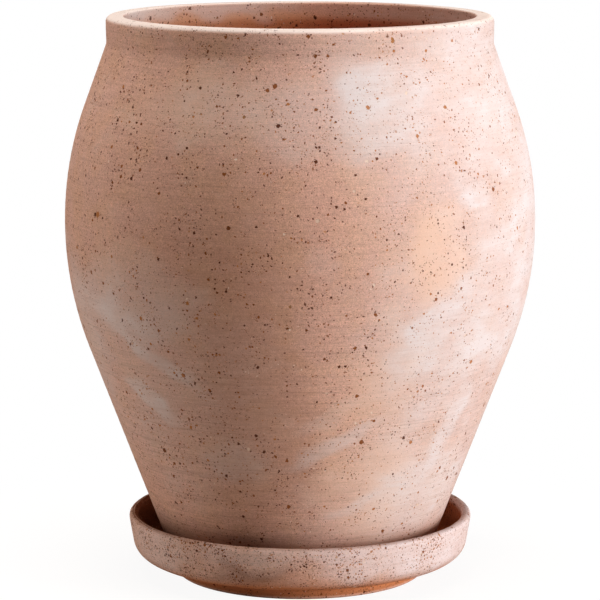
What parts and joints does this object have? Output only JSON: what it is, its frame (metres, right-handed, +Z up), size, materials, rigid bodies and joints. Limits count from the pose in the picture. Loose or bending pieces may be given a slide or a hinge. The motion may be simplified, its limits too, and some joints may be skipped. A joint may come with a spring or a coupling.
{
  "type": "flower pot",
  "caption": "Belly-shaped unglazed clay flower pot with an upright rim band, standing in a round footed saucer.",
  "frame": {"origin": "centre of the saucer's foot, on the ground", "axes": "+Z up along the axis on which pot and saucer are turned; both are round, so X and Y are free"},
  "size_m": [0.3661, 0.3662, 0.4385],
  "materials": {
    "pot_clay": "matte",
    "saucer_clay": "matte"
  },
  "bodies": {
    "saucer": {"saucer": "saucer_clay"},
    "pot": {"pot": "pot_clay"}
  },
  "joints": [
    {"name": "pot_lift", "type": "slide", "parent": "saucer", "child": "pot", "axis": [0, 0, 1], "range_m": [0, 0.08]}
  ]
}
